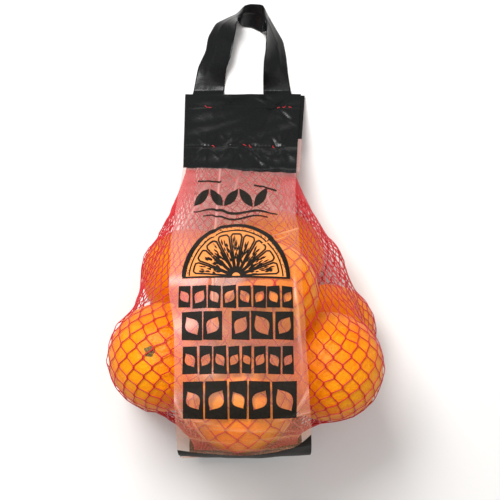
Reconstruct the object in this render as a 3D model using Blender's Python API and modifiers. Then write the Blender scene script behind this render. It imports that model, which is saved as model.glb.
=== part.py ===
"""A net bag of ten oranges, lying on its back film with the label up.

X runs across the bag, Y from the bottom seam to the carrying handle, and Z up from the surface
it lies on. The origin is the centre of the bag's box, on that surface. Four pieces: the filled
net as one solid, the front film with the label, the back film, and the handle ribbon.
"""
import bpy
import numpy as np

MM = 0.001

# The oranges that shape the net: centre x, y, z and radius, in millimetres.
ORANGES = np.array([
    (-3.0, -120.0, 154.0, 37.5),    # front, low
    (14.0, -47.0, 142.0, 37.5),     # front, high
    (-60.5, -94.0, 112.0, 39.5),    # left, low
    (60.0, -100.5, 114.0, 39.5),    # right, low
    (-45.0, -36.0, 39.0, 37.0),     # left, high
    (25.0, -20.5, 38.0, 36.0),      # right, high
    (64.5, -80.0, 39.0, 37.0),      # right, at the back
    (-66.0, -105.0, 37.5, 35.5),    # left, at the back
    (2.0, -77.0, 76.0, 37.0),       # middle
    (-4.0, -138.0, 39.0, 37.0),     # bottom, at the back
])
NET_THICKNESS = 1.0

# The flat header, where both films are welded together, slopes down to the handle.
HEADER_TOP = (111.0, 3.4)           # y, z between the films at its top edge
HEADER_LOW = (46.5, 44.0)           # y, z between the films at its lower edge
FRONT_FOLD = (47.2, 44.7)           # the front film's own bend at the header's lower edge
BACK_FOLD = (46.6, 42.8)            # the back film's
NET_TONGUE_Y = 62.0                 # how far the gathered net reaches between the films
SEAM_BEND = (-177.6, 23.0)          # where both films meet at the bottom
SEAM_END = (-182.4, 21.8)

FILM_WIDTH = 91.0
FILM_THICKNESS = 0.5
FILM_GAP = 0.9                      # from the middle of the stack to the middle of each film
FILM_CROWN = 4.0                    # how far the label's side edges drop below its middle
FILM_CENTRE_Y = (-160.0, -120.0, -70.0, -35.0, 5.0, 46.0, 111.0)
FILM_CENTRE_X = (0.0, -2.3, -3.0, -6.0, -7.1, -5.2, -2.7)

RING_POINTS = 52                    # points round each section of the filled net
SECTIONS = 46                       # sections along it
WAIST_DIP = 0.7                     # how closely the net follows the hollows between oranges
WAIST_DEEPEST = 30.0

RIBBON_WIDTH = 24.5
RIBBON_THICKNESS = 0.6
RIBBON_FLOOR = 0.6
RIBBON_STEPS = 5                    # rows between two stations of the ribbon
# Stations along the handle: x, y on its outer edge, then x, y on its inner edge.
RIBBON_STATIONS = np.array([
    (-46.5, 97.0, -20.5, 97.0),
    (-43.6, 112.7, -18.4, 112.2),
    (-39.5, 134.0, -16.5, 131.0),
    (-33.2, 147.0, -13.0, 140.0),
    (-31.2, 158.5, -10.5, 153.0),
    (-25.0, 170.0, -8.0, 164.0),
    (-14.0, 175.5, -7.4, 167.0),
    (-3.5, 179.4, -6.0, 167.6),
    (3.0, 181.9, 4.6, 166.5),
    (12.7, 182.1, 12.0, 163.0),
    (17.5, 176.5, 16.4, 160.0),
    (23.9, 165.0, 16.4, 153.0),
    (30.0, 155.0, 15.9, 145.0),
    (32.4, 143.5, 14.4, 137.0),
    (34.1, 127.0, 13.8, 124.0),
    (37.3, 109.5, 13.9, 111.5),
    (39.5, 94.0, 15.0, 96.5),
])


def smooth_step(value, low, high):
    """0 below low, 1 above high, and an S-shaped ramp between."""
    t = np.clip((value - low) / (high - low), 0.0, 1.0)
    return t * t * (3.0 - 2.0 * t)


def header_level(y):
    """Height between the two films over the sloping header, which ends just above the floor."""
    slope = (HEADER_TOP[1] - HEADER_LOW[1]) / (HEADER_TOP[0] - HEADER_LOW[0])
    return np.maximum(HEADER_LOW[1] + slope * (y - HEADER_LOW[0]), RIBBON_FLOOR + RIBBON_THICKNESS)


def taut_path(discs, first_angle, last_angle):
    """Path of a film stretched over discs (y, z, radius): for each direction between the two
    angles, the touching point of the disc that reaches furthest that way."""
    angles = np.radians(np.linspace(first_angle, last_angle, 61))
    ways = np.stack([np.cos(angles), np.sin(angles)], axis=1)
    reach = ways @ discs[:, :2].T + discs[:, 2]
    furthest = reach.argmax(axis=1)
    points = discs[furthest, :2] + ways * discs[furthest, 2:]
    moved = np.linalg.norm(np.diff(points, axis=0), axis=1) > 1e-6
    return points[np.concatenate([[True], moved])]


def spaced(points, spacing):
    """The same line with a point about every spacing millimetres, its own corners kept."""
    rows = []
    for start, end in zip(points[:-1], points[1:]):
        steps = max(1, int(np.linalg.norm(end - start) / spacing))
        rows.extend(start + (end - start) * i / steps for i in range(steps))
    return np.array(rows + [points[-1]])


def add_material(name, colour, roughness):
    """One Principled BSDF material, with its linear colour and roughness."""
    material = bpy.data.materials.new(name)
    material.use_nodes = True
    shader = material.node_tree.nodes["Principled BSDF"]
    shader.inputs["Base Color"].default_value = (*colour, 1.0)
    shader.inputs["Roughness"].default_value = roughness
    shader.inputs["Metallic"].default_value = 0.0
    return material


def add_object(name, points, faces, material, collection):
    """A mesh object from points in millimetres, shaded smooth."""
    mesh = bpy.data.meshes.new(name)
    mesh.from_pydata((points * MM).tolist(), [], faces)
    mesh.update()
    mesh.shade_smooth()
    mesh.materials.append(material)
    made = bpy.data.objects.new(name, mesh)
    collection.objects.link(made)
    return made


def grid_faces(rows, columns, closed=False):
    """Quads of a grid of points stored row by row; closed joins the last column to the first."""
    across = columns if closed else columns - 1
    return [
        (r * columns + c, (r + 1) * columns + c,
         (r + 1) * columns + (c + 1) % columns, r * columns + (c + 1) % columns)
        for r in range(rows - 1) for c in range(across)
    ]


def slice_support(y, ways):
    """How far the oranges cut at y reach in each direction (-inf where none is cut)."""
    half = (ORANGES[:, 3] + NET_THICKNESS) ** 2 - (y - ORANGES[:, 1]) ** 2
    cut = half > 0.0
    if not cut.any():
        return np.full(len(ways), -np.inf)
    centres = ORANGES[cut][:, [0, 2]]
    return (ways @ centres.T + np.sqrt(half[cut])).max(axis=1)


def end_support(y, z, half_width, ways):
    """How far a flat bar across the bag reaches: an end of the net, gathered flat."""
    centre_x = np.interp(y, FILM_CENTRE_Y, FILM_CENTRE_X)
    thickness = 0.5 * FILM_THICKNESS
    return ways[:, 0] * centre_x + ways[:, 1] * z + np.hypot(ways[:, 0] * half_width, ways[:, 1] * thickness)


def taut_envelope(stations, local):
    """Upper hull, along the bag, of the reach in one direction: a net pulled straight."""
    hull = []
    for y, reach in zip(stations, local):
        if not np.isfinite(reach):
            continue
        while len(hull) > 1:
            (y0, r0), (y1, r1) = hull[-2:]
            if (r1 - r0) * (y - y0) > (reach - r0) * (y1 - y0):
                break
            hull.pop()
        hull.append((y, reach))
    return np.interp(stations, *zip(*hull))


def ring(support, ways, base):
    """One closed section of the net: the outline that keeps within its reach in every direction,
    as RING_POINTS points, from +X over the top to -X and back underneath, level on the film."""
    centre = np.array([0.5 * (support[0] - support[len(ways) // 2]),
                       0.5 * (support[len(ways) // 4] - support[3 * len(ways) // 4])])
    about = support - ways @ centre
    facing = ways @ ways.T
    radius = np.where(facing > 1e-3, about[None, :] / np.maximum(facing, 1e-3), np.inf).min(axis=1)
    outline = centre + ways * radius[:, None]
    outline[:, 1] = np.maximum(outline[:, 1], base)
    half = len(ways) // 2
    halves = []
    for part in (outline[:half + 1], np.vstack([outline[half:], outline[:1]])):
        travelled = np.concatenate([[0.0], np.cumsum(np.linalg.norm(np.diff(part, axis=0), axis=1))])
        wanted = np.linspace(0.0, travelled[-1], RING_POINTS // 2 + 1)[:-1]
        halves.append(np.stack([np.interp(wanted, travelled, part[:, k]) for k in (0, 1)], axis=1))
    return np.vstack(halves)


def make_filled_net(material, collection):
    """The bag of net and oranges: closed sections round the oranges, pulled toward a taut line
    between them, narrowing to a flat tongue in the header and in the bottom seam."""
    angles = np.linspace(0.0, 2.0 * np.pi, 144, endpoint=False)
    ways = np.stack([np.cos(angles), np.sin(angles)], axis=1)
    body = np.linspace(SEAM_BEND[0] + 1.6, HEADER_LOW[0], SECTIONS - 1)
    local = np.array([slice_support(y, ways) for y in body])
    local[0] = end_support(body[0], SEAM_BEND[1], 40.0, ways)
    local[-1] = end_support(body[-1], HEADER_LOW[1], 42.0, ways)
    taut = np.array([taut_envelope(body, local[:, k]) for k in range(len(ways))]).T
    hollow = np.minimum(taut - np.where(np.isfinite(local), local, -1e3), WAIST_DEEPEST)
    middle = smooth_step(body, -172.0, -150.0) * (1.0 - smooth_step(body, -30.0, 10.0))
    reach = taut - WAIST_DIP * hollow * middle[:, None]
    base = FILM_THICKNESS + 0.3
    rings = [ring(row, ways, base) for row in reach]
    tongue = end_support(NET_TONGUE_Y, header_level(NET_TONGUE_Y), 40.0, ways)
    rings.append(ring(tongue, ways, base))
    stations = np.append(body, NET_TONGUE_Y)
    points = np.array([
        (x, y, z) for y, section in zip(stations, rings) for x, z in section
    ])
    faces = grid_faces(len(rings), RING_POINTS, closed=True)
    faces.append(tuple(range(RING_POINTS)))
    faces.append(tuple(reversed(range((len(rings) - 1) * RING_POINTS, len(rings) * RING_POINTS))))
    return add_object("filled_net", points, faces, material, collection)


def make_sheet(name, points, thickness, material, collection):
    """A thin piece: an open grid of points (rows, columns, xyz) given its thickness by Solidify."""
    rows, columns, _ = points.shape
    faces = grid_faces(rows, columns)
    made = add_object(name, points.reshape(-1, 3), faces, material, collection)
    solidify = made.modifiers.new("thickness", "SOLIDIFY")
    solidify.thickness = thickness * MM
    solidify.offset = 0.0
    return made


def along_path(path, crown):
    """The film over a path of y, z: straight across, its side edges dropped by the crown."""
    travel = np.gradient(path, axis=0)
    travel /= np.linalg.norm(travel, axis=1)[:, None]
    outward = np.stack([travel[:, 1], -travel[:, 0]], axis=1)
    across = np.linspace(-1.0, 1.0, 9)
    centre_x = np.interp(path[:, 0], FILM_CENTRE_Y, FILM_CENTRE_X)
    x = centre_x[:, None] + 0.5 * FILM_WIDTH * across
    drop = crown[:, None] * across ** 2
    y = path[:, :1] - outward[:, :1] * drop
    z = path[:, 1:] - outward[:, 1:] * drop
    return np.stack([x, y, z], axis=2)


def header_edge(point, side):
    """A point of the header's middle moved out to one film's own middle."""
    slope = np.array([HEADER_LOW[0] - HEADER_TOP[0], HEADER_LOW[1] - HEADER_TOP[1]])
    slope /= np.linalg.norm(slope)
    return np.array(point) + side * FILM_GAP * np.array([slope[1], -slope[0]])


def film_path(side, discs, first_angle, last_angle):
    """The whole path of one film: header, then stretched over the discs, then the bottom seam."""
    over = taut_path(np.array(discs), first_angle, last_angle)
    seam_lift = np.array([0.0, side * FILM_GAP])
    path = np.vstack([header_edge(HEADER_TOP, side), over, np.array(SEAM_END) + seam_lift])
    return spaced(path, 5.0)


def make_front_film(material, collection):
    """The front film, over the two front oranges and down the end of the bag."""
    clear = NET_THICKNESS + 0.5 * FILM_THICKNESS + 1.2
    low, high, bottom = ORANGES[0], ORANGES[1], ORANGES[9]
    discs = [
        (*FRONT_FOLD, 0.0),
        (high[1], high[2], high[3] + clear),
        (low[1], low[2], low[3] + clear),
        (bottom[1], bottom[2], bottom[3] + clear),
        (SEAM_BEND[0], SEAM_BEND[1] + FILM_GAP, 0.0),
    ]
    path = film_path(1.0, discs, 20.0, 186.0)
    crown = FILM_CROWN * smooth_step(path[:, 1], high[2], high[2] + high[3])
    return make_sheet("front_film", along_path(path, crown), FILM_THICKNESS, material, collection)


def make_back_film(material, collection):
    """The back film: flat on the floor under the net, rising to the header and to the seam."""
    clear = NET_THICKNESS + 0.5 * FILM_THICKNESS + 0.4
    high, bottom = ORANGES[5], ORANGES[9]
    discs = [(*BACK_FOLD, 0.0)]
    discs += [(o[1], o[3] + clear + 0.5 * FILM_THICKNESS, o[3] + clear) for o in (high, bottom)]
    discs.append((SEAM_BEND[0], SEAM_BEND[1] - FILM_GAP, 0.0))
    path = film_path(-1.0, discs, -35.0, -182.0)
    flat = np.zeros(len(path))
    return make_sheet("back_film", along_path(path, flat), FILM_THICKNESS, material, collection)


def make_handle(material, collection):
    """The handle: one ribbon of constant width. Its feet lie between the films, and past the
    header it turns on edge as far as its narrower outline in plan asks for."""
    steps = np.linspace(0.0, len(RIBBON_STATIONS) - 1.0, (len(RIBBON_STATIONS) - 1) * RIBBON_STEPS + 1)
    marks = np.arange(len(RIBBON_STATIONS))
    outer_x, outer_y, inner_x, inner_y = (
        np.interp(steps, marks, RIBBON_STATIONS[:, k]) for k in range(4))
    narrow = np.hypot(outer_x - inner_x, outer_y - inner_y)
    turned = smooth_step(0.5 * (outer_y + inner_y), HEADER_TOP[0] + 2.0, HEADER_TOP[0] + 26.0)
    low = RIBBON_FLOOR + 0.5 * RIBBON_THICKNESS
    outer_z = (1.0 - turned) * header_level(outer_y) + turned * low
    rise = np.sqrt(np.maximum(RIBBON_WIDTH ** 2 - narrow ** 2, 0.0))
    inner_z = (1.0 - turned) * header_level(inner_y) + turned * (low + rise)
    outer = np.stack([outer_x, outer_y, outer_z], axis=1)
    inner = np.stack([inner_x, inner_y, inner_z], axis=1)
    share = np.linspace(0.0, 1.0, 4)[None, :, None]
    points = outer[:, None, :] * (1.0 - share) + inner[:, None, :] * share
    return make_sheet("handle", points, RIBBON_THICKNESS, material, collection)


def main():
    for old in list(bpy.data.objects):
        bpy.data.objects.remove(old, do_unlink=True)
    collection = bpy.data.collections.new("net_of_oranges")
    bpy.context.scene.collection.children.link(collection)
    net = add_material("filled net", (0.90, 0.28, 0.03), 0.5)
    label = add_material("printed film", (0.62, 0.35, 0.22), 0.4)
    back = add_material("plain film", (0.25, 0.24, 0.23), 0.4)
    black = add_material("black film", (0.02, 0.02, 0.018), 0.4)
    make_filled_net(net, collection)
    make_front_film(label, collection)
    make_back_film(back, collection)
    make_handle(black, collection)


main()
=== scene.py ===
import bpy
import numpy as np
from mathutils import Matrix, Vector


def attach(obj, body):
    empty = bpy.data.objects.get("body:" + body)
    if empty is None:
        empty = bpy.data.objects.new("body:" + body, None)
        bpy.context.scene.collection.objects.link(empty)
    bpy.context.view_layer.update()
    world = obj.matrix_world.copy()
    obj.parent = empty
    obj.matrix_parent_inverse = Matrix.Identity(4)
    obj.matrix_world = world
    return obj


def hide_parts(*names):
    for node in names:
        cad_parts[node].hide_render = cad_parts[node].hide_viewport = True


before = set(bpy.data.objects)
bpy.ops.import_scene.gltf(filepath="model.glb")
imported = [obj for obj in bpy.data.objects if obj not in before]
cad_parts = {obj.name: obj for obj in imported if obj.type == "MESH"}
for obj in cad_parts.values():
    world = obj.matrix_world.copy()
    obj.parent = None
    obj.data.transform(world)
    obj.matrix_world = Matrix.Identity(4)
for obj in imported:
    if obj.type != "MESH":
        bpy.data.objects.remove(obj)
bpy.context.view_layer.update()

# Lengths are millimetres, turned to metres where a mesh is made. X runs across the bag, Y from
# the bottom seam to the handle, Z up from the floor.
MM = 0.001

# Centre x, y, z, radius of each orange, and the way its stem end points.
ORANGES = np.array([
    (-3.0, -120.0, 154.0, 37.5, 0.5, -0.6, -0.6),
    (14.0, -47.0, 142.0, 37.5, 0.9, 0.2, -0.4),
    (-60.5, -94.0, 112.0, 39.5, -0.175, 0.185, 0.967),
    (60.0, -100.5, 114.0, 39.5, 0.3, -0.2, -0.9),
    (-45.0, -36.0, 39.0, 37.0, 0.2, 0.9, -0.5),
    (25.0, -20.5, 38.0, 36.0, -0.9, 0.2, -0.4),
    (64.5, -80.0, 39.0, 37.0, 0.8, -0.3, -0.5),
    (-66.0, -105.0, 37.5, 35.5, -0.9, -0.3, 0.1),
    (2.0, -77.0, 76.0, 37.0, 0.0, 0.5, -0.8),
    (-4.0, -138.0, 39.0, 37.0, 0.5, -0.8, -0.2),
])
CENTRES, RADII, STEMS = ORANGES[:, :3], ORANGES[:, 3], ORANGES[:, 4:]

HEADER_TOP = (111.0, 3.4)  # y, z between the films
HEADER_LOW = (46.5, 44.0)
FRONT_FOLD = (47.2, 44.7)
BACK_FOLD = (46.6, 42.8)
SEAM_BEND = (-177.6, 23.0)
SEAM_END = (-182.4, 21.8)
FILM_GAP = 0.9
FILM_CROWN = 4.0
FRONT_CLEAR = 2.45  # film off the fruit it passes over
BACK_CLEAR = 1.65
BACK_FLOOR = 0.25  # back film off the floor, under its lowest fruit
SEAM_SLANT = 5.5  # how far the seam's right end lies up the bag
LABEL_X = -5.0  # middle of the label
# The film's two side edges: x at each y.
EDGE_Y = (-182.0, -160.0, -115.0, -70.0, -46.0, -5.0, 15.0, 46.0, 111.0)
LEFT_X = (-45.5, -46.0, -47.6, -47.8, -51.6, -51.6, -51.3, -49.5, -50.0)
RIGHT_X = (45.0, 44.5, 42.7, 40.4, 38.9, 37.3, 35.9, 38.9, 44.7)
FILM_STEP = 1.3
PRINT_LIFT = 0.28  # ink above its film, so that neither shows through the other

NET_CELLS = 58  # cells round the bag
NET_ROWS = 58  # rows of knots from header to seam
NET_START_Y = 48.5
NECK_DROP = 3.5  # first row below the header's low edge
NECK_HALF, SEAM_HALF = 41.0, 42.0  # half widths of the net's two gathered ends
THREAD_LENGTH = 9.0  # one side of a cell
THREAD_WIDTH = 0.9
STITCH_LENGTH = 1.4
NECK_SPREAD = 9.0  # cells either side of the middle that stay spread at the neck
FREE_SPREAD = 40.0  # the same further down
KNOT_LENGTH = 2.6  # where two threads run side by side
START_CLEAR = 1.5  # net off the fruit before it settles
KNOT_CLEAR = 0.75  # middle of a knot off the fruit
THREAD_CLEAR = 0.55  # middle of a thread off fruit and floor
KNOT_FLOOR = 0.9  # lowest a knot may lie
NET_PULL, NET_EASE = 0.42, 0.10  # shares of a step: toward the thread's length, and to the mean
NET_KEEP = 0.08  # share of a step back to the first x, under the label
NET_SINK = 0.012  # how far the net sinks in a step
BAG_MIDDLE = (0.0, -80.0, 80.0)


def linear(hex_colour):
    """An sRGB hex value as linear red, green, blue and alpha."""
    parts = np.array([int(hex_colour[k:k + 2], 16) / 255.0 for k in (1, 3, 5)])
    values = np.where(parts <= 0.04045, parts / 12.92, ((parts + 0.055) / 1.055) ** 2.4)
    return (*values.tolist(), 1.0)


def smooth_step(value, low, high):
    """0 below low, 1 above high, and an S-shaped ramp between."""
    t = np.clip((value - low) / (high - low), 0.0, 1.0)
    return t * t * (3.0 - 2.0 * t)


def bell(value, width):
    """1 at zero, falling off as a Gaussian of that width."""
    return np.exp(-(value / width) ** 2)


def ripples(points, length, seed, waves=7):
    """Smooth noise of about -1 to 1: the sum of sine waves of that length in seeded directions."""
    rng = np.random.default_rng(seed)
    total = 0.0
    for _ in range(waves):
        way = rng.normal(size=points.shape[-1])
        way *= 2.0 * np.pi / (np.linalg.norm(way) * length * rng.uniform(0.7, 1.5))
        total += np.sin(points @ way + rng.uniform(0.0, 2.0 * np.pi))
    return total / np.sqrt(2.0 * waves)


def together(*parts):
    """The parts as the last axis of one array."""
    return np.stack(parts, axis=-1)


def unit(vectors):
    """The same directions at length 1."""
    return vectors / (np.linalg.norm(vectors, axis=-1, keepdims=True) + 1e-9)


def soften(line, times):
    """Smooths a line in place along its first axis; its two ends stay."""
    for _ in range(times):
        line[1:-1] = 0.25 * line[:-2] + 0.5 * line[1:-1] + 0.25 * line[2:]


def travel_along(points):
    """Distance from the first point to each, along the first axis."""
    steps = np.linalg.norm(np.diff(points, axis=0), axis=-1)
    return np.concatenate([np.zeros_like(steps[:1]), np.cumsum(steps, axis=0)])


# ---- meshes


def grid_faces(rows, columns, closed=False):
    """Quads of a grid stored row by row, as an array; closed joins the last column to the first."""
    r = np.arange(rows - 1)[:, None]
    c = np.arange(columns if closed else columns - 1)[None, :]
    after = (c + 1) % columns
    corners = (r * columns + c, r * columns + after, (r + 1) * columns + after, (r + 1) * columns + c)
    return np.stack([k + 0 * (r + c) for k in corners], axis=-1).reshape(-1, 4)


def add_piece(name, points, faces, materials, face_material=None, marks=None):
    """A smooth mesh object from points in millimetres, which rides on the only body. marks are
    point attributes by name."""
    mesh = bpy.data.meshes.new(name)
    mesh.from_pydata((points.reshape(-1, 3) * MM).tolist(), [], [list(f) for f in faces])
    for material in materials:
        mesh.materials.append(material)
    if face_material is not None:
        mesh.polygons.foreach_set("material_index", face_material.astype(np.int32))
    for mark, values in (marks or {}).items():
        layer = mesh.attributes.new(mark, "FLOAT", "POINT")
        layer.data.foreach_set("value", values.reshape(-1).astype(np.float32))
    mesh.update()
    mesh.shade_smooth()
    piece = bpy.data.objects.new(name, mesh)
    bpy.context.scene.collection.objects.link(piece)
    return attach(piece, "root")


def join_grids(grids):
    """One array of points and one of faces from several grids of points."""
    points, faces, start = [], [], 0
    for grid in grids:
        rows, columns, _ = grid.shape
        points.append(grid.reshape(-1, 3))
        faces.append(grid_faces(rows, columns) + start)
        start += rows * columns
    return np.vstack(points), np.vstack(faces)


def pole_mesh(points, both):
    """Points and faces of a grid closed round, whose first row, or both end rows, are one
    point."""
    rows, columns = points.shape[:2]
    last = points[-1, :1] if both else points[-1]
    flat = np.vstack([points[0, :1], points[1:-1].reshape(-1, 3), last])
    index = np.clip(grid_faces(rows, columns, closed=True) - (columns - 1), 0, len(flat) - 1)
    return flat, [tuple(dict.fromkeys(face)) for face in index.tolist()]


# ---- materials


def new_material(name):
    """An empty node material and its tree."""
    material = bpy.data.materials.new(name)
    material.use_nodes = True
    material.node_tree.nodes.clear()
    return material, material.node_tree


def node(tree, kind, settings=None, stops=(), **inputs):
    """Adds a node. settings are its own properties; stops are (position, hex colour) pairs of a
    colour ramp, its two ends first; inputs are values, sockets to link or nodes whose first
    output is linked, by socket name with _ for a space, or by iN for the Nth socket. A hex
    string is a colour."""
    made = tree.nodes.new("ShaderNode" + kind)
    for key, value in (settings or {}).items():
        setattr(made, key, value)
    for k, (position, colour) in enumerate(stops):
        mark = made.color_ramp.elements[k] if k < 2 else made.color_ramp.elements.new(position)
        mark.position = position
        mark.color = linear(colour)
    for key, value in inputs.items():
        socket = made.inputs[int(key[1:]) if key[1:].isdigit() else key.replace("_", " ")]
        value = value.outputs[0] if isinstance(value, bpy.types.Node) else value
        if isinstance(value, bpy.types.NodeSocket):
            tree.links.new(value, socket)
        else:
            socket.default_value = linear(value) if isinstance(value, str) else value
    return made


def orange_rind():
    """Citrus rind, waxed: oil glands as shallow pits about 1.6 mm apart, a little coarse so that
    they show, with slow changes from golden to deep orange between fruits and over each."""
    material, tree = new_material("orange_rind")
    place = node(tree, "TexCoord").outputs["Object"]
    slow = node(tree, "TexNoise", Vector=place, Scale=17.0, Detail=3.0, Roughness=0.5)
    fine = node(tree, "TexNoise", Vector=place, Scale=420.0, Detail=2.0, Roughness=0.6)
    glands = node(tree, "TexVoronoi", {"feature": "SMOOTH_F1"}, Vector=place, Scale=620.0, Smoothness=0.6)
    golden = node(tree, "ValToRGB", stops=((0.3, "#EE7200"), (0.72, "#FFAC0C"), (0.5, "#F98F00")),
                  Fac=slow)
    speckle = node(tree, "ValToRGB", stops=((0.3, "#E3B98F"), (0.6, "#FFFFFF")), Fac=fine)
    colour = node(tree, "MixRGB", {"blend_type": "MULTIPLY"}, Fac=0.4, Color1=golden, Color2=speckle)
    pits = node(tree, "Bump", Strength=0.4, Distance=0.0009, Height=glands)
    lumps = node(tree, "Bump", Strength=0.15, Distance=0.0012, Height=fine, Normal=pits)
    skin = node(tree, "BsdfPrincipled", Base_Color=colour, Roughness=0.42, Specular_IOR_Level=0.2,
                Normal=lumps, Subsurface_Weight=0.25, Subsurface_Radius=(0.006, 0.0016, 0.0002),
                Subsurface_Scale=1.0)
    node(tree, "OutputMaterial", Surface=skin)
    return material


def dry_calyx():
    """The dried brown-green star where the stalk was."""
    material, tree = new_material("dry_calyx")
    place = node(tree, "TexCoord").outputs["Object"]
    grain = node(tree, "TexNoise", Vector=place, Scale=900.0, Detail=3.0)
    colour = node(tree, "ValToRGB", stops=((0.35, "#4E3D1A"), (0.65, "#8A7440")), Fac=grain)
    skin = node(tree, "BsdfPrincipled", Base_Color=colour, Roughness=0.8)
    node(tree, "OutputMaterial", Surface=skin)
    return material


def net_thread():
    """Knitted polyethylene monofilament in red: chain stitches about 1.4 mm long show as lighter
    and darker beads along each thread, a painted highlight and shade of their bumps on a smooth tube."""
    material, tree = new_material("red_net_thread")
    along = node(tree, "Attribute", {"attribute_name": "along"}).outputs["Fac"]
    turn = node(tree, "Math", {"operation": "SINE"}, i0=along)
    # Painted highlight and shade of the stitch bumps: lighter and darker by a sine along the thread.
    painted_stitch_shade = node(tree, "MapRange", Value=turn, From_Min=-1.0, From_Max=1.0)
    colour = node(tree, "ValToRGB", stops=((0.0, "#A60012"), (1.0, "#E02430"), (0.45, "#D0081A")),
                  Fac=painted_stitch_shade)
    skin = node(tree, "BsdfPrincipled", Base_Color=colour, Roughness=0.42)
    node(tree, "OutputMaterial", Surface=skin)
    return material


def frosted_film():
    """Frosted low-density polyethylene, blown: a milky veil over what lies behind, coloured with
    a painted glow of it, peach from fruit close behind and pink from net and gaps further off;
    the veil is thicker to the eye where the film stands off, and is whitened along its folds
    as a painted highlight."""
    material, tree = new_material("frosted_film")
    place = node(tree, "TexCoord").outputs["Object"]
    stand = node(tree, "Attribute", {"attribute_name": "stand"}).outputs["Fac"]
    cloud = node(tree, "TexNoise", Vector=place, Scale=60.0, Detail=3.0)
    uneven = node(tree, "MapRange", Value=cloud, From_Min=0.3, From_Max=0.7, To_Min=-0.03, To_Max=0.03)
    veil = node(tree, "MapRange", Value=stand, To_Min=0.11, To_Max=0.30)
    # fold: a painted highlight along the label's folds, which thickens the milky veil there.
    fold = node(tree, "Attribute", {"attribute_name": "fold"}).outputs["Fac"]
    thick = node(tree, "Math", {"operation": "ADD"}, i0=veil, i1=uneven)
    share = node(tree, "Math", {"operation": "MULTIPLY_ADD"}, i0=fold, i1=0.7, i2=thick)
    # Painted glow of what lies behind the film: peach where fruit is close, pink where the film stands
    # off over net and gaps.
    painted_glow_behind = node(tree, "ValToRGB", stops=((0.1, "#FFC183"), (0.95, "#F0AFAB"), (0.5, "#FAB285")),
                Fac=stand)
    milk = node(tree, "BsdfPrincipled", Base_Color=painted_glow_behind, Roughness=0.4, Specular_IOR_Level=0.2)
    glow = node(tree, "BsdfTranslucent", Color=painted_glow_behind)
    body = node(tree, "MixShader", Fac=0.3, i1=milk, i2=glow)
    clear = node(tree, "BsdfTransparent", Color="#FFF6F0")
    mixed = node(tree, "MixShader", Fac=share, i1=clear, i2=body)
    sheen = node(tree, "BsdfGlossy", Color="#FFFFFF", Roughness=0.28)
    facing = node(tree, "Fresnel", IOR=1.4)
    glaze = node(tree, "Math", {"operation": "MINIMUM"}, i0=facing, i1=0.03)
    glazed = node(tree, "MixShader", Fac=glaze, i1=mixed, i2=sheen)
    node(tree, "OutputMaterial", Surface=glazed)
    return material


def black_film():
    """Black polyethylene film, two layers welded: semi-gloss, with fine creases."""
    material, tree = new_material("black_film")
    place = node(tree, "TexCoord").outputs["Object"]
    crinkle = node(tree, "TexNoise", Vector=place, Scale=110.0, Detail=4.0, Roughness=0.5, Distortion=0.6)
    dust = node(tree, "TexNoise", Vector=place, Scale=900.0, Detail=2.0)
    colour = node(tree, "ValToRGB", stops=((0.3, "#0E0F10"), (0.7, "#161717")), Fac=dust)
    rise = node(tree, "Bump", Strength=0.3, Distance=0.0012, Height=crinkle)
    skin = node(tree, "BsdfPrincipled", Base_Color=colour, Roughness=0.27, Specular_IOR_Level=0.26,
                Normal=rise)
    node(tree, "OutputMaterial", Surface=skin)
    return material


def printed_ink(name, low, high):
    """Flexographic ink on film, slightly uneven where the plate pressed less."""
    material, tree = new_material(name)
    place = node(tree, "TexCoord").outputs["Object"]
    wear = node(tree, "TexNoise", Vector=place, Scale=500.0, Detail=3.0)
    colour = node(tree, "ValToRGB", stops=((0.3, low), (0.7, high)), Fac=wear)
    skin = node(tree, "BsdfPrincipled", Base_Color=colour, Roughness=0.55, Specular_IOR_Level=0.1)
    node(tree, "OutputMaterial", Surface=skin)
    return material


# ---- films


def taut_path(discs, first_angle, last_angle):
    """Path of a film stretched over discs (y, z, radius): for each direction between the two
    angles, the touching point of the disc that reaches furthest that way."""
    angles = np.radians(np.linspace(first_angle, last_angle, 361))
    ways = together(np.cos(angles), np.sin(angles))
    reach = ways @ discs[:, :2].T + discs[:, 2]
    furthest = reach.argmax(axis=1)
    points = discs[furthest, :2] + ways * discs[furthest, 2:]
    moved = np.linalg.norm(np.diff(points, axis=0), axis=1) > 1e-6
    return points[np.concatenate([[True], moved])]


def film_path(side):
    """Travel s, y, z and the outward y and z of the front (+1) or back (-1) film, resampled
    evenly and softened over a few millimetres."""
    if side > 0:
        discs = [(*FRONT_FOLD, 0.0)]
        discs += [(*CENTRES[k, 1:], RADII[k] + FRONT_CLEAR) for k in (1, 0, 9)]
        angles = (20.0, 186.0)
    else:
        reach = RADII + BACK_CLEAR
        discs = [(*BACK_FOLD, 0.0)]
        discs += [(CENTRES[k, 1], reach[k] + BACK_FLOOR, reach[k]) for k in (5, 9)]
        angles = (-35.0, -182.0)
    discs.append((SEAM_BEND[0], SEAM_BEND[1] + side * FILM_GAP, 0.0))
    slope = np.subtract(HEADER_LOW, HEADER_TOP)
    slope /= np.linalg.norm(slope)
    start = np.array(HEADER_TOP) + side * FILM_GAP * np.array([slope[1], -slope[0]])
    end = np.add(SEAM_END, (0.0, side * FILM_GAP))
    path = np.vstack([start, taut_path(np.array(discs), *angles), end])
    travelled = travel_along(path)
    s = np.linspace(0.0, travelled[-1], int(travelled[-1] / FILM_STEP))
    line = np.stack([np.interp(s, travelled, path[:, k]) for k in (0, 1)], axis=1)
    soften(line, 3)
    travel = np.gradient(line, axis=0)
    travel /= np.linalg.norm(travel, axis=1)[:, None]
    outward = side * together(travel[:, 1], -travel[:, 0])
    return s, line[:, 0], line[:, 1], outward[:, 0], outward[:, 1]


UPPER_WELD, LOWER_WELD, HEADER_END = 14.0, 53.4, 76.0  # travel along the film
FRONT = film_path(1.0)
BACK = film_path(-1.0)


def travel_at(y):
    """Travel along the front film from the header's top edge to where it passes over y."""
    return np.interp(-np.asarray(y), -FRONT[1], FRONT[0])


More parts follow.
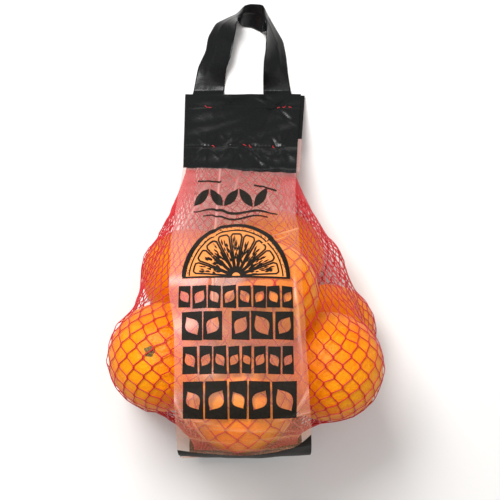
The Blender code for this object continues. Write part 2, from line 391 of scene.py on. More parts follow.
def side_edges(path):
    """x of the left and right edges at each station of a film, a little slack below the header
    and with the corners softened."""
    slack = 0.5 * ripples(path[0][:, None], 34.0, 17) * smooth_step(path[0], HEADER_END, 110.0)
    edges = [np.interp(path[1], EDGE_Y, side) + slack for side in (LEFT_X, RIGHT_X)]
    for edge in edges:
        soften(edge, 30)
    return edges


FRONT_EDGES = side_edges(FRONT)
PUCKERS_X = (-31.9, -11.3, 8.6, 27.6)
BLACK_EDGE_X = (-49.5, -17.3, 4.6, 23.9, 38.9)
BLACK_EDGE_S = (73.0, 74.5, 79.5, 83.5, 82.5)
# The black stripe low on the front film climbs toward the right.
STRIPE_TOP, STRIPE_WIDTH = 364.0, 28.0
STRIPE_X = (-46.0, 0.0, 22.0, 36.0, 45.0)
STRIPE_S = (365.0, 368.0, 363.0, 354.0, 343.0)
BACK_BLACK_TOP, BACK_BLACK_LOW = 44.0, 46.0  # black rows of the back film, from either end
BACK_SHIFT = 3.2  # how far the back film's header lies to the right
FIELD_DROP = 0.07  # the slice's colour under its ink


def crease(x, s, at, turn, length, width, height):
    """A straight fold in the film: a ridge with a Gaussian section, fading at its ends."""
    across, along = np.cos(np.radians(turn)), np.sin(np.radians(turn))
    dx, ds = x - at[0], s - at[1]
    return height * bell(dx * along - ds * across, width) * bell(dx * across + ds * along, length)


def header_relief(x, s):
    """Folds of the welded header: two weld grooves, a pit and short rays at each pucker, ribs
    where the gathered net spreads below the lower weld, and seeded creases."""
    height = -0.45 * bell(s - UPPER_WELD, 1.0) * (0.75 + 0.25 * np.sin(1.9 * x))
    height -= 0.6 * bell(s - LOWER_WELD, 1.1) * (0.75 + 0.25 * np.sin(2.2 * x))
    for k, pucker in enumerate(PUCKERS_X):
        height -= 1.5 * bell(x - pucker, 2.0) * bell(s - LOWER_WELD, 1.6)
        for turn in (50.0, 90.0, 128.0, -50.0 - 6.0 * k, -90.0, -125.0):
            way = np.radians(turn)
            at = (pucker + 7.0 * np.cos(way), LOWER_WELD + 7.0 * np.sin(way))
            height += crease(x, s, at, turn, 7.0, 1.3, 0.55)
    height += 0.9 * ripples(together(x, s), 26.0, 6)
    rng = np.random.default_rng(5)
    for _ in range(20):
        at = (rng.uniform(-46.0, 42.0), rng.uniform(2.0, 70.0))
        size = rng.uniform(9.0, 20.0), rng.uniform(1.2, 2.6), rng.uniform(-0.8, 0.9)
        height += crease(x, s, at, rng.uniform(20.0, 160.0), *size)
    ribs = ripples(together(x, 0.12 * s), 9.0, 3)
    height += 0.5 * (0.6 + ribs) * smooth_step(s, LOWER_WELD, LOWER_WELD + 12.0)
    return height * smooth_step(s, -4.0, 4.0) * (1.0 - smooth_step(s, HEADER_END, HEADER_END + 40.0))


# Folds of the label: x and travel of the middle, turn in degrees, length, width and height.
LABEL_FOLDS = (
    ((31.0, 188.0), -28.0, 15.0, 1.6, 1.3), ((24.0, 196.0), -36.0, 13.0, 1.4, -0.9),
    ((-2.0, 340.0), 3.0, 30.0, 1.5, 0.8), ((22.0, 347.0), -8.0, 22.0, 1.4, -0.9),
    ((-24.0, 350.0), 6.0, 22.0, 1.6, 0.8), ((8.0, 358.0), -2.0, 34.0, 1.5, 0.7),
    ((-42.0, 330.0), 60.0, 14.0, 1.5, 0.8), ((38.0, 318.0), 118.0, 20.0, 1.4, -0.8),
    ((-8.0, 110.0), 96.0, 30.0, 1.5, -0.6), ((16.0, 128.0), 80.0, 34.0, 1.6, 0.7),
    ((-36.0, 140.0), 100.0, 40.0, 1.8, 0.7), ((36.0, 265.0), 86.0, 40.0, 1.4, 0.8),
    ((34.0, 330.0), -14.0, 16.0, 1.3, 0.9), ((-30.0, 334.0), 12.0, 18.0, 1.3, 0.8),
)


def long_crease(x, s, width):
    """The crease that runs down the label from the header, fading over its lower half."""
    return bell(x + 20.5 + 0.012 * (s - 80.0), width) * (1.0 - smooth_step(s, 200.0, 300.0))


def label_relief(x, s):
    """Folds of the label: one long lengthwise crease, the listed folds, and slack waves that
    grow toward both side edges."""
    edge = np.abs(x - LABEL_X) / 45.0
    height = 1.1 * ripples(together(0.5 * x, s), 38.0, 11) * edge ** 2
    height += 0.25 * ripples(together(x, s), 21.0, 12)
    height -= 0.7 * long_crease(x, s, 1.5)
    height += 0.5 * bell(x + 17.0, 2.6) * (1.0 - smooth_step(s, 150.0, 260.0))
    for fold in LABEL_FOLDS:
        height += crease(x, s, *fold)
    return height * smooth_step(s, HEADER_END, HEADER_END + 25.0)


def painted_fold_highlight(x, s):
    """How far the film is whitened as a painted highlight, 0 to 1: along the middle of each fold of the
    label.
    """
    white = long_crease(x, s, 0.7)
    for at, turn, length, width, height in LABEL_FOLDS:
        white += crease(x, s, at, turn, 0.8 * length, 0.55 * width, 0.7 * abs(height))
    return np.clip(white, 0.0, 1.0)


def skewed(points):
    """The seam isn't quite square: points near it move up the bag toward the right."""
    x, y = points[..., 0], points[..., 1]
    shift = SEAM_SLANT * smooth_step(x, 8.0, 46.0) * smooth_step(-y, 150.0, 182.0)
    return points + shift[..., None] * np.array((0.0, 1.0, 0.0))


def over_film(path, x, s, lift):
    """Points of a film at x and travel s, raised off it along its outward normal."""
    y, z, out_y, out_z = (np.interp(s, path[0], path[k]) for k in (1, 2, 3, 4))
    return skewed(together(x + 0.0 * s, y + out_y * lift, z + out_z * lift))


def front_film_points(x, s, lift=0.0):
    """Points of the front film: its path, its crown across, its folds, and a lift off it."""
    left, right = (np.interp(s, FRONT[0], edge) for edge in FRONT_EDGES)
    u = (2.0 * x - left - right) / (right - left)
    z = np.interp(s, FRONT[0], FRONT[2])
    crown = FILM_CROWN * smooth_step(z, CENTRES[1, 2], CENTRES[1, 2] + RADII[1]) * u ** 2
    return over_film(FRONT, x, s, lift + header_relief(x, s) + label_relief(x, s) - crown)


def print_on_label(x, y):
    """Points of ink at plan places x, y, a hair above the label film."""
    return front_film_points(x, travel_at(y), PRINT_LIFT)


def film_stand(points):
    """How far the film stands off the nearest orange, 0 touching to 1 at 30 mm."""
    nearest = np.full(len(points), 1e3)
    for centre, radius in zip(CENTRES, RADII):
        nearest = np.minimum(nearest, np.linalg.norm(points - centre, axis=1) - radius)
    return np.clip(nearest / 30.0, 0.0, 1.0)


def row_shift(x, s, level, line_x, line_s, reach):
    """How far rows near a level of travel are moved so that the level's row follows a line."""
    near = np.clip(1.0 - np.abs(s - level) / reach, 0.0, 1.0)
    return (np.interp(x, line_x, line_s) - level) * near


def make_films(black, frosted, printed):
    """Front and back films, each a grid across and along its path. Rows follow the wavy lower
    edge of the black header, and on the front film the black stripe; the back film is black
    again at the seam."""
    across = np.linspace(0.0, 1.0, 110)
    for name, node_name, path in (
        ("front_film_sheet", "front_film", FRONT),
        ("back_film_sheet", "back_film", BACK),
    ):
        s, down = path[0], path[0][:, None]
        row = s[:-1]
        left, right = side_edges(path)
        x = left[:, None] * (1.0 - across) + right[:, None] * across
        s_at = down + row_shift(x, down, HEADER_END, BLACK_EDGE_X, BLACK_EDGE_S, 22.0)
        faces = grid_faces(len(s), len(across))
        if path is FRONT:
            s_at = s_at + row_shift(x, down, STRIPE_TOP, STRIPE_X, STRIPE_S, 40.0)
            points = front_film_points(x, s_at)
            look = np.where(row < HEADER_END, 0, 1)
            look[(row > STRIPE_TOP) & (row < STRIPE_TOP + STRIPE_WIDTH)] = 2
            faces = faces[:, ::-1]
            # fold is a painted highlight along the label's folds.
            fold = painted_fold_highlight(x, s_at)
            veil = 1.0 - 0.35 * smooth_step(down, 335.0, 365.0)
        else:
            x = x + BACK_SHIFT * (1.0 - smooth_step(down, 60.0, 110.0))
            slack = 0.5 * ripples(together(x, s_at), 26.0, 31) * smooth_step(s_at, 90.0, 120.0)
            lift = -0.4 * header_relief(x, s_at) - slack * smooth_step(path[2], 0.6, 6.0)[:, None]
            points = over_film(path, x, s_at, lift)
            points[..., 2] = np.maximum(points[..., 2], 0.15)
            look = np.where((row < BACK_BLACK_TOP) | (row > s[-1] - BACK_BLACK_LOW), 0, 1)
            fold = 0.0 * x
            veil = 1.0
        stand = film_stand(points.reshape(-1, 3)).reshape(x.shape) * veil
        piece = add_piece(name, points, faces, [black, frosted, printed],
                          np.repeat(look, len(across) - 1), {"stand": stand, "fold": fold})
        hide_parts(node_name)


# ---- print


def tile(corners, hole, tilt):
    """One block of print with a leaf-shaped opening: rings between a four-sided outline and a
    pointed leaf turned by tilt."""
    turn = np.linspace(0.0, 2.0 * np.pi, 49)
    centre = corners.mean(axis=0)
    side = (turn / (0.5 * np.pi)) % 4.0
    first = side.astype(int) % 4
    share = (side - np.floor(side))[:, None]
    outline = corners[first] * (1.0 - share) + corners[(first + 1) % 4] * share
    start = np.arctan2(*(corners[0] - centre)[::-1])
    leaf_turn = turn + start - tilt
    length, width = hole
    leaf = together(length * np.cos(leaf_turn), width * np.sin(leaf_turn) ** 3)
    spin = np.array([[np.cos(tilt), np.sin(tilt)], [-np.sin(tilt), np.cos(tilt)]])
    leaf = leaf @ spin + centre
    rings = np.linspace(0.0, 1.0, 9)[:, None, None]
    return leaf[None] * (1.0 - rings) + outline[None] * rings


def tile_row(x_range, y_range, widths, seed, gap=1.1):
    """A row of blocks of given relative widths, their corners cut a little unevenly. A negative
    width leaves a space of that width."""
    rng = np.random.default_rng(seed)
    total = np.abs(widths).sum()
    run = x_range[1] - x_range[0] + gap
    x, grids = x_range[0], []
    low, high = y_range
    for k, width in enumerate(widths):
        step = run * abs(width) / total
        if width > 0:
            far = x + step - gap
            corners = np.array([(x, low), (far, low), (far, high), (x, high)])
            corners += rng.uniform(-0.5, 0.5, (4, 2))
            size = min(step, high - low)
            tilt = np.radians(58.0 if k % 2 else -58.0)
            grids.append(tile(corners, (0.5 * size, 0.32 * size), tilt))
        x += step
    return grids


def stroke(points, width):
    """A line of ink of varying width along points: rows offset to either side of it."""
    travel = np.gradient(points, axis=0)
    travel /= np.linalg.norm(travel, axis=1)[:, None]
    half = 0.5 * np.broadcast_to(width, len(points))[:, None]
    aside = half * together(-travel[:, 1], travel[:, 0])
    rows = 3 if half.max() < 1.5 else 9
    return points[None] + np.linspace(-1.0, 1.0, rows)[:, None, None] * aside[None]


def arc(centre, radius, start, end, count=60):
    """Points along part of a circle, angles in degrees."""
    turn = np.radians(np.linspace(start, end, count))
    return together(centre[0] + radius * np.cos(turn), centre[1] + radius * np.sin(turn))


SLICE_CENTRE = (-6.4, -34.0)
SLICE_RADIUS = 36.4


def half_slice():
    """The half fruit slice: a field of colour, and ink lines for its rind, pith, segment walls
    and pulp. Each segment is a wedge with a rounded outer side, repeated round the centre."""
    rng = np.random.default_rng(8)
    turn = np.linspace(0.0, np.pi, 70)
    reach = np.linspace(0.0, 0.93, 16)[:, None] * SLICE_RADIUS
    base = np.array(SLICE_CENTRE)
    field = base + reach[..., None] * together(np.cos(turn), np.sin(turn))
    thick = 2.6 + 0.7 * np.sin(np.linspace(0.0, 9.0, 90))
    ink = [stroke(arc(SLICE_CENTRE, SLICE_RADIUS - 1.1, 1.0, 179.0, 90), thick)]
    ink.append(stroke(arc(SLICE_CENTRE, SLICE_RADIUS * 0.87, 2.0, 178.0, 80), 1.0))
    for way in rng.uniform(4.0, 176.0, 90):
        dot = arc(SLICE_CENTRE, SLICE_RADIUS * rng.uniform(0.885, 0.93), way, way + 1.1, 4)
        ink.append(stroke(dot, 0.5))
    ink.append(stroke(base + np.linspace((-SLICE_RADIUS, 0.0), (SLICE_RADIUS, 0.0), 60), 1.3))
    segments = 9
    for k in range(segments):
        first = 4.0 + 172.0 * k / segments + 1.5
        last = 4.0 + 172.0 * (k + 1) / segments - 1.5
        middle = 0.5 * (first + last)
        inner = arc(base, 2.8, middle, middle, 1)
        outer = arc(base, 0.80 * SLICE_RADIUS, first + 2.5, last - 2.5, 14)
        share = np.linspace(0.0, 1.0, 14)[:, None]
        left_side = inner + (arc(base, 0.75 * SLICE_RADIUS, first, first, 1) - inner) * share
        right_side = inner + (arc(base, 0.75 * SLICE_RADIUS, last, last, 1) - inner) * share[::-1]
        ink.append(stroke(np.vstack([left_side, outer, right_side]), 1.2))
        for _ in range(17):
            way = np.radians(rng.uniform(first + 3.0, last - 3.0))
            near = rng.uniform(0.26, 0.66) * SLICE_RADIUS
            drop = np.linspace(near, near + rng.uniform(2.4, 5.2), 6)[:, None]
            line = base + drop * np.array((np.cos(way), np.sin(way)))
            ink.append(stroke(line, np.array([0.15, 0.75, 1.0, 0.9, 0.55, 0.15])))
    return field, ink


def top_marks():
    """The simple marks above the slice: two short dashes, five leaves and two waved lines."""
    x = np.linspace(-38.0, 23.0, 70)
    swell = np.sin(np.linspace(0.0, np.pi, 70))
    grids = [
        stroke(together(x, 11.4 + 1.6 * np.sin(x / 5.2) - 0.03 * x), 0.8 + 1.3 * swell),
        stroke(together(x[8:-8], 7.2 + 1.6 * np.sin(x[8:-8] / 5.2)), 0.5 + 0.9 * swell[8:-8]),
    ]
    for first_x, last_x, first_y, last_y in ((-37.0, -19.0, 36.6, 36.2), (6.0, 23.0, 33.4, 28.4)):
        dash = together(np.linspace(first_x, last_x, 12), np.linspace(first_y, last_y, 12))
        grids.append(stroke(dash, 1.4))
    share = np.linspace(-1.0, 1.0, 24)
    for k, centre_x in enumerate((-33.0, -22.0, -11.0, 0.0, 11.0)):
        way = np.radians(-34.0 if k % 2 else 34.0)
        middle = together(centre_x + 8.8 * share * np.sin(way), 22.8 + 8.8 * share * np.cos(way))
        grids.append(stroke(middle, 6.8 * (1.0 - share ** 2) + 0.02))
    return grids


def make_print(black_ink, orange_ink):
    """All the ink on the label, as thin sheets that follow the film."""
    field, grids = half_slice()
    grids = grids + top_marks()
    grids += tile_row((-45.3, 31.8), (-54.7, -39.8), [1, 1.1, 1, 1.1, 1.05, 1, 1, 0.9], 1)
    grids += tile_row((-42.5, 32.2), (-75.8, -57.0), [1.05, 1.0, -0.35, 1.0, 1.15, 1.0], 2)
    grids += tile_row((-41.8, 32.2), (-98.2, -80.0), [1.1, 1.0, 1.0, 0.9, 0.8, 0.95, 1.0, 0.9], 3)
    grids += tile_row((-42.0, 34.2), (-128.2, -103.0), [1.0, 1.1, 0.9, 1.05, 1.2], 4)
    placed = [print_on_label(g[..., 0], g[..., 1]) for g in grids]
    points, faces = join_grids(placed)
    ink = add_piece("label_ink", points, facing_up(points, faces), [black_ink])
    under = print_on_label(field[..., 0], field[..., 1]) - np.array((0.0, 0.0, FIELD_DROP))
    points, faces = join_grids([under])
    colour = add_piece("slice_field", points, facing_up(points, faces), [orange_ink])
    for piece in (ink, colour):
        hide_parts("front_film")


def facing_up(points, faces):
    """The same faces, each turned so that it faces up."""
    a, b, c, d = (points[faces[:, k]] for k in range(4))
    up = np.cross(c - a, d - b)[:, 2] > 0.0
    return np.where(up[:, None], faces, faces[:, ::-1])


# ---- handle

RIBBON_WIDTH = 24.5
RIBBON_THICKNESS = 0.6
RIBBON_FLOOR = 0.6
# Stations along the handle: x, y on its outer edge, then x, y on its inner edge.
RIBBON_STATIONS = np.array([
    (-46.5, 97.0, -20.5, 97.0), (-43.6, 112.7, -18.4, 112.2), (-39.5, 134.0, -16.5, 131.0),
    (-33.2, 147.0, -13.0, 140.0), (-31.2, 158.5, -10.5, 153.0), (-25.0, 170.0, -8.0, 164.0),
    (-14.0, 175.5, -7.4, 167.0), (-3.5, 179.4, -6.0, 167.6), (3.0, 181.9, 4.6, 166.5),
    (12.7, 182.1, 12.0, 163.0), (17.5, 176.5, 16.4, 160.0), (23.9, 165.0, 16.4, 153.0),
    (30.0, 155.0, 15.9, 145.0), (32.4, 143.5, 14.4, 137.0), (34.1, 127.0, 13.8, 124.0),
    (37.3, 109.5, 13.9, 111.5), (39.5, 94.0, 15.0, 96.5),
])


def header_level(y):
    """Height between the two films over the sloping header, which ends just above the floor."""
    slope = (HEADER_TOP[1] - HEADER_LOW[1]) / (HEADER_TOP[0] - HEADER_LOW[0])
    return np.maximum(HEADER_LOW[1] + slope * (y - HEADER_LOW[0]), RIBBON_FLOOR + RIBBON_THICKNESS)


def make_handle(black):
    """The ribbon: rulings between an outer and an inner edge line. Its constant width says how
    far it stands on edge, and folds and ripples run along and across it."""
    count = len(RIBBON_STATIONS)
    fine = np.linspace(0.0, count - 1.0, 420)
    edges = np.stack([np.interp(fine, np.arange(count), RIBBON_STATIONS[:, k]) for k in range(4)], axis=1)
    soften(edges, 28)
    outer_x, outer_y, inner_x, inner_y = edges.T
    narrow = np.hypot(outer_x - inner_x, outer_y - inner_y)
    turned = smooth_step(0.5 * (outer_y + inner_y), HEADER_TOP[0] + 2.0, HEADER_TOP[0] + 26.0)
    low = RIBBON_FLOOR + 0.5 * RIBBON_THICKNESS
    rise = np.sqrt(np.maximum(RIBBON_WIDTH ** 2 - narrow ** 2, 0.0))
    top_part = smooth_step(fine, 6.4, 7.4) * (1.0 - smooth_step(fine, 9.2, 10.2))
    outer_lift = low + rise * top_part
    inner_lift = low + rise * (1.0 - top_part)
    outer_z = (1.0 - turned) * header_level(outer_y) + turned * outer_lift
    inner_z = (1.0 - turned) * header_level(inner_y) + turned * inner_lift
    outer, inner = together(outer_x, outer_y, outer_z), together(inner_x, inner_y, inner_z)
    share = np.linspace(0.0, 1.0, 25)[None, :, None]
    points = outer[:, None] * (1.0 - share) + inner[:, None] * share
    normal = np.cross(np.gradient(points, axis=0), np.gradient(points, axis=1))
    normal /= np.linalg.norm(normal, axis=2)[:, :, None] + 1e-9
    along = fine[:, None] * 11.0 + 0.0 * share[..., 0]
    across = share[..., 0] * RIBBON_WIDTH + 0.0 * along
    grid = together(along, across)
    free = smooth_step(0.5 * (outer_y + inner_y), HEADER_TOP[0], HEADER_TOP[0] + 12.0)[:, None]
    bumps = 0.35 * ripples(grid, 26.0, 42) - 0.2 * bell(across - 8.0, 1.6)
    points = points + normal * (free * bumps)[..., None]
    points[..., 2] = np.maximum(points[..., 2], 0.4)
    piece = add_piece("handle_ribbon", points, grid_faces(*points.shape[:2]), [black])
    solidify = piece.modifiers.new("thickness", "SOLIDIFY")
    solidify.thickness = 0.5 * MM
    solidify.offset = 0.0
    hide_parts("handle")


# ---- net

# Centre x, y, z, and radius of a bulge where the knitted net holds itself out.
SHOULDERS = np.array([(52.0, -30.0, 47.0, 25.0)])


def section_ring(support, ways, count, spread):
    """A closed outline that keeps within its reach in every direction, as count points from +X
    over the top to -X and back underneath. On either half the spacing follows a hyperbolic
    tangent: wide within spread cells of the middle, close toward the two sides."""
    quarter = len(ways) // 4
    centre = 0.5 * np.array([support[0] - support[2 * quarter], support[quarter] - support[3 * quarter]])
    about = support - ways @ centre
    facing = ways @ ways.T
    radius = np.where(facing > 1e-3, about[None, :] / np.maximum(facing, 1e-3), np.inf).min(axis=1)
    outline = centre + ways * radius[:, None]
    halves = []
    for part in (outline[:2 * quarter + 1], np.vstack([outline[2 * quarter:], outline[:1]])):
        travelled = travel_along(part)
        cell = np.linspace(0.25 * count, -0.25 * count, count // 2 + 1)[:-1]
        wanted = 0.5 * travelled[-1] * (1.0 - np.tanh(cell / spread) / np.tanh(0.25 * count / spread))
        halves.append(np.stack([np.interp(wanted, travelled, part[:, k]) for k in (0, 1)], axis=1))
    return np.vstack(halves)


def bar_support(y, z, half_width, ways):
    """Reach, in each direction, of a flat bar across the bag, where the net is gathered."""
    centre_x = 0.5 * (np.interp(y, EDGE_Y, LEFT_X) + np.interp(y, EDGE_Y, RIGHT_X))
    return ways[:, 0] * centre_x + ways[:, 1] * z + np.hypot(ways[:, 0] * half_width, ways[:, 1] * 0.25)


def row_stretch():
    """Factor on the length of each row's threads, which are let out at the neck."""
    return 1.0 + 0.8 * (1.0 - smooth_step(np.arange(NET_ROWS - 1), 5.0, 11.0))


def start_net():
    """Knots of the net before it settles: for each column round the bag, shared out by thread
    length along the convex hull of the oranges and of the net's two gathered ends."""
    turn = np.linspace(0.0, 2.0 * np.pi, 144, endpoint=False)
    ways = together(np.cos(turn), np.sin(turn))
    stations = np.linspace(NET_START_Y, SEAM_BEND[0] + 0.6, 70)
    reach = np.full((len(stations), len(ways)), -np.inf)
    for y, row in zip(stations, reach):
        half = (RADII + START_CLEAR) ** 2 - (y - CENTRES[:, 1]) ** 2
        cut = half > 0.0
        if cut.any():
            row[:] = (ways @ CENTRES[cut][:, [0, 2]].T + np.sqrt(half[cut])).max(axis=1)
    reach[0] = bar_support(stations[0], HEADER_LOW[1] - NECK_DROP, NECK_HALF, ways)
    reach[-1] = bar_support(stations[-1], SEAM_BEND[1], SEAM_HALF, ways)
    for column in reach.T:
        hull = []
        for y, far in zip(stations[::-1], column[::-1]):
            if not np.isfinite(far):
                continue
            while len(hull) > 1:
                (y1, far1), (y2, far2) = hull[-2:]
                if (far2 - far1) * (y - y1) > (far - far1) * (y2 - y1):
                    break
                hull.pop()
            hull.append((y, far))
        column[:] = np.interp(stations, *zip(*hull))
    spreads = NECK_SPREAD + (FREE_SPREAD - NECK_SPREAD) * smooth_step(-stations, -30.0, 60.0)
    rings = np.array([section_ring(row, ways, 2 * NET_CELLS, far) for row, far in zip(reach, spreads)])
    level = np.broadcast_to(stations[:, None, None], rings[:, :, :1].shape)
    points = np.concatenate([rings[:, :, :1], level, rings[:, :, 1:]], axis=2)
    share = np.concatenate([[0.0], np.cumsum(row_stretch())])
    share /= share[-1]
    columns = np.array([
        [np.interp(share * t[-1], t, points[:, c, k]) for k in range(3)]
        for c, t in enumerate(travel_along(points).T)
    ]).transpose(2, 0, 1)
    knots = np.empty((NET_ROWS, NET_CELLS, 3))
    knots[0::2] = columns[0::2, 0::2]
    knots[1::2] = columns[1::2, 1::2]
    return knots


def net_links():
    """Index pairs of the knots that a side of a cell joins, each knot to two in the next row,
    and the length of each side."""
    index = np.arange(NET_ROWS * NET_CELLS).reshape(NET_ROWS, NET_CELLS)
    pairs = []
    for row in range(NET_ROWS - 1):
        aside = 1 if row % 2 else -1
        pairs.append(together(index[row], index[row + 1]))
        pairs.append(together(index[row], np.roll(index[row + 1], -aside)))
    return np.vstack(pairs), THREAD_LENGTH * np.repeat(row_stretch(), 2 * NET_CELLS)


def settle_net(knots, steps=1400):
    """Lets the net settle on the fruit. In each step a side longer than its thread pulls its two
    knots together, every knot moves a little toward the mean of its neighbours, all sink
    slightly, and knots inside an orange or the floor are pushed out. Both ends stay, and in the
    first rows under the label the knots keep near the x they started from."""
    flat = knots.reshape(-1, 3).copy()
    links, longest = net_links()
    a, b = links[:, 0], links[:, 1]
    count = len(flat)
    degree = np.bincount(a, minlength=count) + np.bincount(b, minlength=count)
    held = np.concatenate([flat[:NET_CELLS], flat[-NET_CELLS:]])
    first_x = flat[:, 0].copy()
    under_label = 1.0 - smooth_step(np.abs(first_x - LABEL_X), 26.0, 44.0)
    under_label[flat[:, 2] < HEADER_LOW[1] - 4.0] = 0.0
    row = np.repeat(np.arange(NET_ROWS), NET_CELLS)
    keep = NET_KEEP * under_label * (1.0 - smooth_step(row, 3.0, 13.0))
    bumpers = np.vstack([np.column_stack([CENTRES, RADII + KNOT_CLEAR]), SHOULDERS])
    for _ in range(steps):
        gap = flat[b] - flat[a]
        length = np.linalg.norm(gap, axis=1)
        pull = (NET_PULL * np.maximum(length - longest, 0.0) / length)[:, None] * gap
        ease = NET_EASE * gap
        move = np.empty_like(flat)
        for k in range(3):
            both = pull[:, k] + ease[:, k]
            move[:, k] = np.bincount(a, both, count) - np.bincount(b, both, count)
        flat += move * 2.0 / (2.0 + degree)[:, None]
        flat[:, 0] += keep * (first_x - flat[:, 0])
        flat[:, 2] -= NET_SINK
        for x, y, z, radius in bumpers:
            away = flat - (x, y, z)
            far = np.linalg.norm(away, axis=1)
            inside = far < radius
            flat[inside] += away[inside] * ((radius - far[inside]) / far[inside])[:, None]
        flat[:, 2] = np.maximum(flat[:, 2], KNOT_FLOOR)
        flat[:NET_CELLS], flat[-NET_CELLS:] = held[:NET_CELLS], held[NET_CELLS:]
    return flat.reshape(NET_ROWS, NET_CELLS, 3)


def tube_grid(lines, normals, width, height, sides=5):
    """Tubes along many lines at once (lines, points, xyz): an ellipse of that width along the
    surface and height off it, swept round each line."""
    travel = unit(np.gradient(lines, axis=1))
    aside = unit(np.cross(normals, travel))
    up = np.cross(travel, aside)
    turn = np.linspace(0.0, 2.0 * np.pi, sides, endpoint=False)
    across = 0.5 * width * np.cos(turn)[:, None] * aside[:, :, None]
    return lines[:, :, None] + across + 0.5 * height * np.sin(turn)[:, None] * up[:, :, None]


def tube_faces(lines, points, sides):
    """Quads of that many closed tubes, with their two end caps as five-sided faces."""
    one = grid_faces(points, sides, closed=True)
    starts = np.arange(lines)[:, None, None] * points * sides
    caps = np.array([np.arange(sides)[::-1], np.arange(sides) + (points - 1) * sides])
    return list((one[None] + starts).reshape(-1, 4)) + list((caps[None] + starts).reshape(-1, sides))


def push_clear(points, margin):
    """Moves points that are inside an orange out to its surface plus a margin."""
    for centre, radius in zip(CENTRES, RADII):
        away = points - centre
        far = np.linalg.norm(away, axis=-1, keepdims=True)
        points = np.where(far < radius + margin, centre + away * (radius + margin) / far, points)
    return points


def make_net(material):
    """The knitted net as two sets of threads. Each thread runs from header to seam, and at every
    knot lies beside its neighbour for a few millimetres before they part again."""
    knots = settle_net(start_net())
    uneven = np.stack([ripples(knots, 12.0, 61 + k) for k in range(3)], axis=-1)
    rows = np.arange(NET_ROWS)
    inner = smooth_step(np.minimum(rows, NET_ROWS - 1.0 - rows), 1.0, 6.0)
    knots = skewed(push_clear(knots + 0.7 * uneven * inner[:, None, None], KNOT_CLEAR))
    down = unit(np.gradient(knots, axis=0))
    around = unit(np.roll(knots, -1, axis=1) - np.roll(knots, 1, axis=1))
    outward = unit(np.cross(around, down))
    if (outward * (knots - BAG_MIDDLE)).sum(axis=2).mean() < 0.0:
        outward = -outward
    for family in (1, -1):
        # A thread of the second set lies one column back on every second row.
        columns = np.arange(NET_CELLS)[:, None] - (family < 0) * (rows[None] % 2)
        at = (rows[None] + 0 * columns, columns % NET_CELLS)
        knot, way, normal, aside = knots[at], down[at], outward[at], around[at]
        side = np.where(rows % 2 == 0, 1.0, -1.0)[None, :, None] * family
        offset = 0.48 * THREAD_WIDTH * side * aside
        half = 0.5 * KNOT_LENGTH * way
        start, end = knot - half + offset, knot + half + offset
        following = np.roll(start, -1, axis=1)
        beyond = np.roll(normal, -1, axis=1)
        lines, ups = [start], [normal]
        for share in (0.0, 0.34, 0.67):
            lines.append(end + (following - end) * share)
            ups.append(normal * (1.0 - share) + beyond * share)
        lines, ups = (np.stack(k, axis=2)[:, :-1].reshape(NET_CELLS, -1, 3) for k in (lines, ups))
        lines = push_clear(lines, THREAD_CLEAR)
        lines[..., 2] = np.maximum(lines[..., 2], THREAD_CLEAR)
        grid = tube_grid(lines, unit(ups), THREAD_WIDTH, 0.72 * THREAD_WIDTH)
        along = travel_along(lines.swapaxes(0, 1)).T
        along = np.repeat(along[:, :, None] * 2.0 * np.pi / STITCH_LENGTH, grid.shape[2], axis=2)
        faces = tube_faces(NET_CELLS, lines.shape[1], grid.shape[2])
        piece = add_piece("net_threads_right" if family > 0 else "net_threads_left", grid, faces,
                          [material], marks={"along": along})
        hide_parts("filled_net")


def make_net_ends(material):
    """Loose ends of net that show at the header's welds: short bent threads on the black film."""
    # Each is x, travel, turn in degrees and length.
    places = (
        (-32.5, UPPER_WELD, 10.0, 2.6), (-29.6, UPPER_WELD + 0.6, -30.0, 2.0),
        (30.6, UPPER_WELD - 0.5, -8.0, 2.6), (35.5, UPPER_WELD, 60.0, 2.0),
        (26.0, UPPER_WELD + 1.0, 20.0, 1.8), (-26.4, LOWER_WELD, 30.0, 2.6),
        (-1.4, LOWER_WELD - 0.6, -12.0, 2.2), (3.2, LOWER_WELD, 18.0, 2.6),
        (22.0, LOWER_WELD, 70.0, 2.4),
    )
    lines = []
    for k, (x, s, turn, length) in enumerate(places):
        t = np.linspace(-0.5, 0.5, 14) * length
        bend = 0.9 * np.sin(t * 1.3 + k)
        way = np.radians(turn)
        x_at = x + t * np.cos(way) - bend * np.sin(way)
        s_at = s + t * np.sin(way) + bend * np.cos(way)
        lines.append(front_film_points(x_at, s_at, 0.2))
    lines = np.array(lines)
    grid = tube_grid(lines, np.broadcast_to((0.0, 0.5, 0.85), lines.shape), 0.6, 0.45)
    along = np.broadcast_to(np.linspace(0.0, 20.0, 14)[None, :, None], grid.shape[:3])
    faces = tube_faces(len(lines), 14, 5)
    piece = add_piece("net_ends_in_header", grid, faces, [material], marks={"along": along})
    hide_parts("filled_net")


# ---- oranges


CALYX_DEPTH = 1.5  # how far the stem end sits in its dimple


def orange_axes(stem):
    """Two directions across the stem and the stem's own."""
    up = stem / np.linalg.norm(stem)
    side = unit(np.cross(up, (0.31, 0.84, 0.45)))  # any way that no stem points
    return np.stack([side, np.cross(up, side), up])


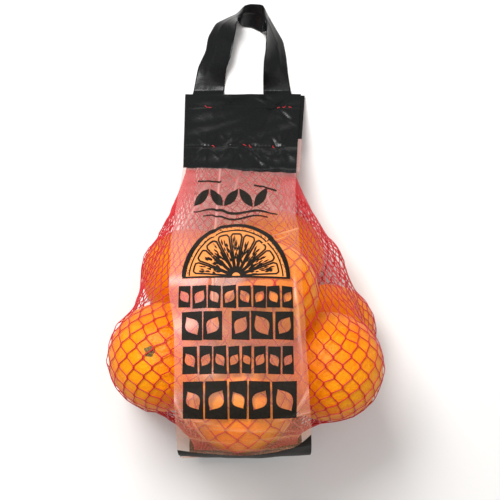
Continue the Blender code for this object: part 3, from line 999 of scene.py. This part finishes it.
def make_orange(number, centre, radius, stem, rind):
    """One orange: a sphere by latitude and longitude from its stem end, a little squat, with slow
    lumps, a dimple and short ribs at the stem and a shallow scar at the other end."""
    down = np.linspace(0.0, np.pi, 74)[:, None]
    turn = np.linspace(0.0, 2.0 * np.pi, 96, endpoint=False)[None, :]
    ring = np.sin(down)
    ball = together(ring * np.cos(turn), ring * np.sin(turn), np.cos(down) + 0.0 * turn)
    size = radius * (1.0 + 0.006 * ripples(ball, 1.6, 50 + number) - 0.004 * np.cos(down) ** 2)
    ribs = (0.5 + 0.5 * np.cos(9.0 * turn)) * smooth_step(down, 0.02, 0.2)
    size = size - 1.6 * bell(down, 0.15) - 0.25 * bell(down, 0.3) * ribs - 0.7 * bell(down - np.pi, 0.07)
    points = centre + (ball * size[..., None]) @ orange_axes(stem)
    piece = add_piece("orange_%02d" % (number + 1), *pole_mesh(points, both=True), [rind])
    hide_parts("filled_net")


def make_calyx(number, centre, radius, stem, material):
    """The dried star at a stem end: a low disc whose rim has five lobes, with a raised ring
    round a hollow."""
    reach = np.linspace(0.0, 1.0, 12)[:, None]
    turn = np.linspace(0.0, 2.0 * np.pi, 60, endpoint=False)[None, :]
    rim = 4.3 + 0.8 * np.cos(5.0 * turn) + 0.4 * np.cos(3.0 * turn + 1.0)
    across = reach * rim
    lift = 0.8 + 0.9 * bell(reach - 0.3, 0.16) - 0.75 * reach ** 3 - across ** 2 / (2.0 * radius)
    lift = lift + 0.18 * np.cos(10.0 * turn) * reach * (1.0 - reach)
    height = radius - CALYX_DEPTH + lift + 0.0 * turn
    local = together(across * np.cos(turn), across * np.sin(turn), height)
    points = centre + local @ orange_axes(stem)
    piece = add_piece("calyx_%02d" % (number + 1), *pole_mesh(points, both=False), [material])
    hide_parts("filled_net")


# ---- stage


def make_stage():
    """A pale floor, a large soft key light on the handle's side, a fill, and an even sky."""
    bpy.ops.mesh.primitive_plane_add(size=6.0)
    floor = bpy.context.object
    floor.name = "floor"
    material, tree = new_material("pale_floor")
    paint = node(tree, "BsdfPrincipled", Base_Color="#F6F5F3", Roughness=0.6)
    node(tree, "OutputMaterial", Surface=paint)
    floor.data.materials.append(material)
    for name, place, size, power in (
        ("key", (-0.30, 0.55, 1.10), 0.5, 14.5),
        ("fill", (0.85, -0.25, 0.9), 0.9, 1.2),
        ("top", (0.0, 0.1, 1.6), 1.2, 4.5),
    ):
        data = bpy.data.lights.new(name, "AREA")
        data.size = size
        data.energy = power
        lamp = bpy.data.objects.new(name, data)
        bpy.context.scene.collection.objects.link(lamp)
        lamp.location = place
        aim = Vector((0.0, -0.03, 0.05)) - lamp.location
        lamp.rotation_euler = aim.to_track_quat("-Z", "Y").to_euler()
    world = bpy.data.worlds.new("sky")
    world.use_nodes = True
    world.node_tree.nodes["Background"].inputs["Color"].default_value = linear("#FFFFFF")
    world.node_tree.nodes["Background"].inputs["Strength"].default_value = 0.36
    bpy.context.scene.world = world
    bpy.context.scene.view_settings.view_transform = "Standard"


def make_camera():
    """Straight above the bag, with the handle at the top of the view."""
    data = bpy.data.cameras.new("camera")
    data.sensor_width = 36.0
    data.lens = 87.7
    camera = bpy.data.objects.new("camera", data)
    camera.location = (0.003, -0.016, 1.0)
    bpy.context.scene.collection.objects.link(camera)
    bpy.context.scene.camera = camera


def main():
    """Makes every piece, from the films in, then the stage."""
    make_camera()
    black, printed = black_film(), printed_ink("black_ink", "#17130E", "#221C15")
    make_films(black, frosted_film(), printed)
    make_print(printed, printed_ink("orange_ink", "#E78A46", "#EE9856"))
    make_handle(black)
    rind, calyx, thread = orange_rind(), dry_calyx(), net_thread()
    for number, (centre, radius, stem) in enumerate(zip(CENTRES, RADII, STEMS)):
        make_orange(number, centre, radius, stem, rind)
        make_calyx(number, centre, radius, stem, calyx)
    make_net(thread)
    make_net_ends(thread)
    make_stage()


main()
